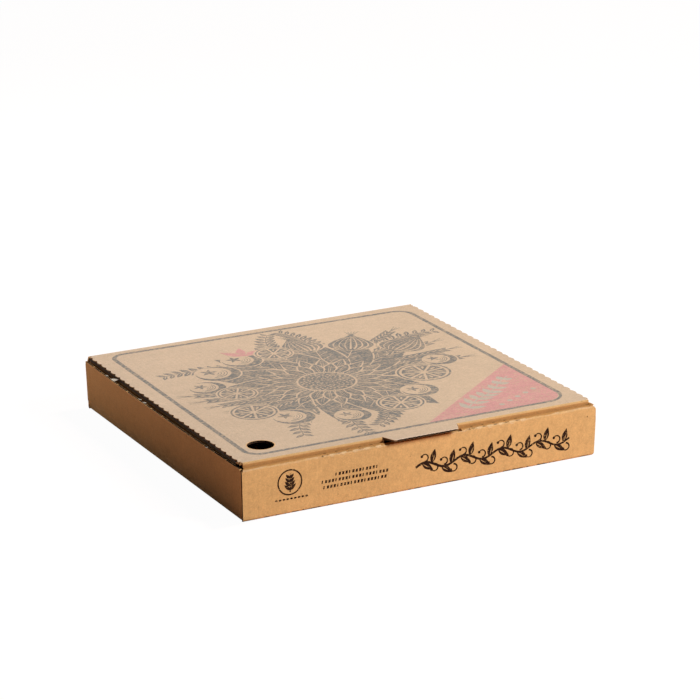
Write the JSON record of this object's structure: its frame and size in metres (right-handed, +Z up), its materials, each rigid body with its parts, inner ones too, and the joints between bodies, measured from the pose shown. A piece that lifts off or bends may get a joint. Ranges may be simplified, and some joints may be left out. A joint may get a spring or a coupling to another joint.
{
  "type": "pizza box",
  "caption": "Shallow square corrugated box with a hinged lid, a rolled front wall, a thumb tab and a round vent, for carrying a flat round pie.",
  "frame": {"origin": "on the underside of the base, in the middle between the tray's side walls and between its front and back walls", "axes": "+X to the right seen from the front, +Y back towards the lid's hinge, +Z up"},
  "size_m": [0.3349, 0.3345, 0.0482],
  "materials": {
    "board_tray": "matte brown kraft liner",
    "board_lid": "matte pale kraft liner with grey and pink print"
  },
  "bodies": {
    "tray": {"tray": "board_tray"},
    "lid": {"lid": "board_lid"}
  },
  "joints": [
    {"name": "lid_hinge", "type": "hinge", "parent": "tray", "child": "lid", "pos_m": [0, 0.1641, 0.0473], "axis": [-1, 0, 0], "range_deg": [0, 180]}
  ]
}
